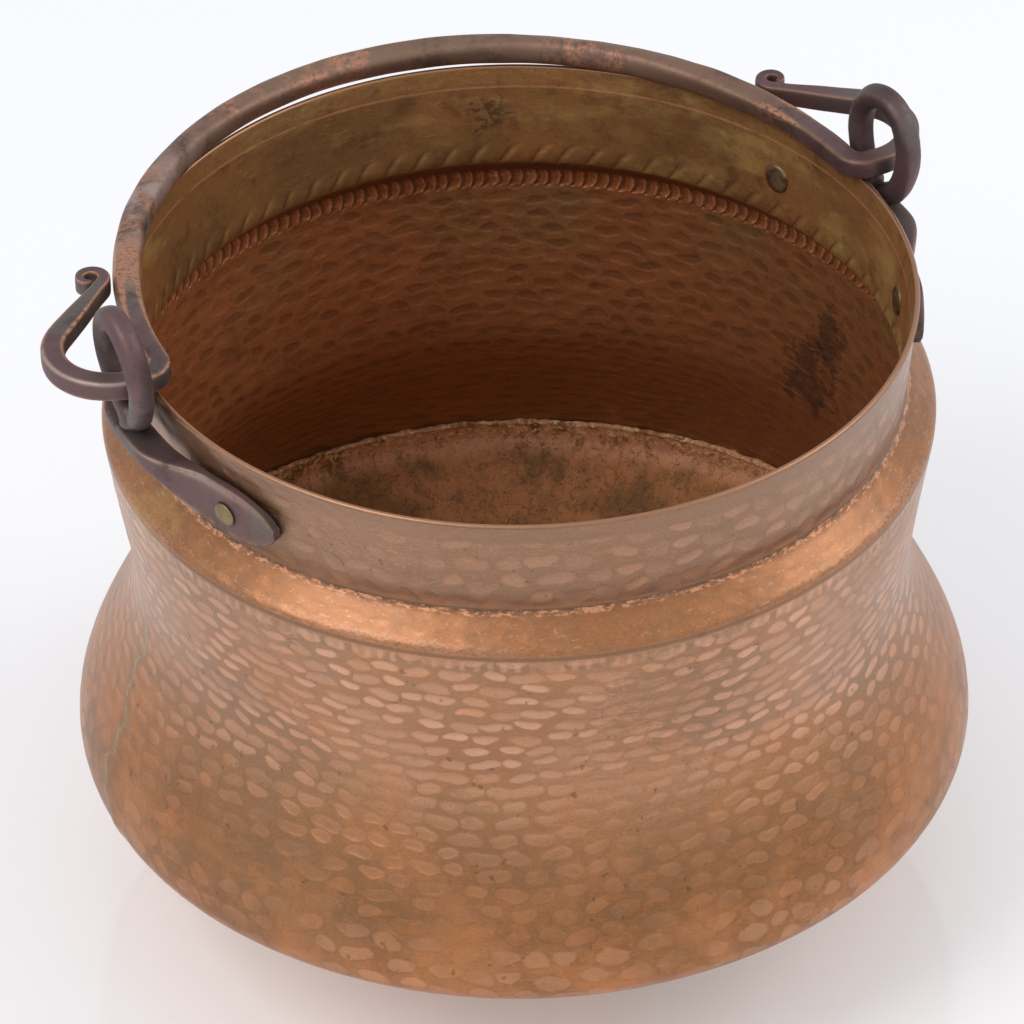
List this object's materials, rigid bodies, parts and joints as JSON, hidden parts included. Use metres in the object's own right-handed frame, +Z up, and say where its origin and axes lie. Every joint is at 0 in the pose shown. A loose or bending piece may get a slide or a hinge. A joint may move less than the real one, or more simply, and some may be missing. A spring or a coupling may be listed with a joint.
{
  "type": "cauldron",
  "caption": "Hammered copper cauldron with a waisted wall, lapped round bottom, riveted side straps, swivel eyes and a forged swing bail with scrolled hooks, for cooking over a fire.",
  "frame": {"origin": "middle of the flat spot under the bottom, on the surface that the pot stands on", "axes": "+Z up, X through the two eyes, the bail lies back towards +Y on the rim"},
  "size_m": [0.3618, 0.3484, 0.3108],
  "materials": {
    "wall_copper": "hammered copper, tarnished brown with bright burnished crests",
    "bowl_copper": "hammered copper, tarnished",
    "forged_bar": "forged copper alloy with a dark grey-brown patina, worn to copper on its edges",
    "rivet_brass": "dull olive brass"
  },
  "bodies": {
    "pot": {"body_shell": "wall_copper", "bottom_bowl": "bowl_copper", "strap_right": "forged_bar", "strap_left": "forged_bar", "rivet_right_front": "rivet_brass", "rivet_right_back": "rivet_brass", "rivet_left_front": "rivet_brass", "rivet_left_back": "rivet_brass"},
    "eye_right": {"eye_right": "forged_bar"},
    "eye_left": {"eye_left": "forged_bar"},
    "bail": {"bail": "forged_bar"}
  },
  "joints": [
    {"name": "bail_swing", "type": "hinge", "parent": "pot", "child": "bail", "pos_m": [0, 0, 0.27705], "axis": [1, 0, 0], "range_deg": [0, 180]},
    {"name": "eye_right_swivel", "type": "hinge", "parent": "pot", "child": "eye_right", "pos_m": [0.1565, 0, 0.258], "axis": [0, 0, 1], "range_deg": [-21, 1]},
    {"name": "eye_left_swivel", "type": "hinge", "parent": "pot", "child": "eye_left", "pos_m": [-0.1565, 0, 0.258], "axis": [0, 0, 1], "range_deg": [-9, 9]}
  ]
}
